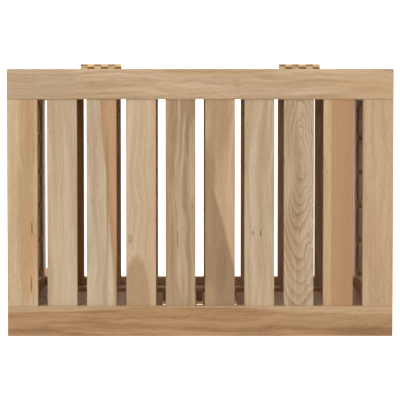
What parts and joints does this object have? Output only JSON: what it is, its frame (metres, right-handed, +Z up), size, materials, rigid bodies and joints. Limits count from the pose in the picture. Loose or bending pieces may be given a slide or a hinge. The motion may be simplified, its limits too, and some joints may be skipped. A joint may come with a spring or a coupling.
{
  "type": "laundry hamper with lid",
  "caption": "Upright slatted wooden laundry hamper on short legs, open-jointed slats on every side, with a hinged slatted lid on brass butt hinges.",
  "frame": {"origin": "on the floor, under the middle of the whole hamper, hinge barrels included", "axes": "+Z up; -Y out of the front, where the lid opens, and +Y towards the hinges; +X to the right of someone facing the front"},
  "size_m": [0.47, 0.332, 0.5],
  "materials": {
    "lid_frame": "oiled",
    "lid_slats": "oiled",
    "box_frame": "oiled",
    "wall_slats": "oiled",
    "bottom_rack": "oiled",
    "hinges": "brushed"
  },
  "bodies": {
    "box": {"left_front_leg": "box_frame", "left_back_leg": "box_frame", "left_top_rail": "box_frame", "left_bottom_rail": "box_frame", "left_slat_1": "wall_slats", "left_slat_2": "wall_slats", "left_slat_3": "wall_slats", "left_slat_4": "wall_slats", "left_slat_5": "wall_slats", "right_front_leg": "box_frame", "right_back_leg": "box_frame", "right_top_rail": "box_frame", "right_bottom_rail": "box_frame", "right_slat_1": "wall_slats", "right_slat_2": "wall_slats", "right_slat_3": "wall_slats", "right_slat_4": "wall_slats", "right_slat_5": "wall_slats", "front_left_stile": "box_frame", "front_right_stile": "box_frame", "front_top_rail": "box_frame", "front_bottom_rail": "box_frame", "front_slat_1": "wall_slats", "front_slat_2": "wall_slats", "front_slat_3": "wall_slats", "front_slat_4": "wall_slats", "front_slat_5": "wall_slats", "front_slat_6": "wall_slats", "front_slat_7": "wall_slats", "front_slat_8": "wall_slats", "back_left_stile": "box_frame", "back_right_stile": "box_frame", "back_top_rail": "box_frame", "back_bottom_rail": "box_frame", "back_slat_1": "wall_slats", "back_slat_2": "wall_slats", "back_slat_3": "wall_slats", "back_slat_4": "wall_slats", "back_slat_5": "wall_slats", "back_slat_6": "wall_slats", "back_slat_7": "wall_slats", "back_slat_8": "wall_slats", "bottom_rack": "bottom_rack", "left_hinge_box_leaf": "hinges", "right_hinge_box_leaf": "hinges"},
    "lid": {"lid_back_rail": "lid_frame", "lid_front_rail": "lid_frame", "lid_left_stile": "lid_frame", "lid_right_stile": "lid_frame", "lid_slat_1": "lid_slats", "lid_slat_2": "lid_slats", "lid_slat_3": "lid_slats", "lid_slat_4": "lid_slats", "lid_slat_5": "lid_slats", "lid_slat_6": "lid_slats", "lid_slat_7": "lid_slats", "lid_slat_8": "lid_slats", "left_hinge_lid_leaf": "hinges", "right_hinge_lid_leaf": "hinges"}
  },
  "joints": [
    {"name": "lid_hinge", "type": "hinge", "parent": "box", "child": "lid", "pos_m": [0, 0.16305, 0.48175], "axis": [-1, 0, 0], "range_deg": [0, 197]}
  ]
}
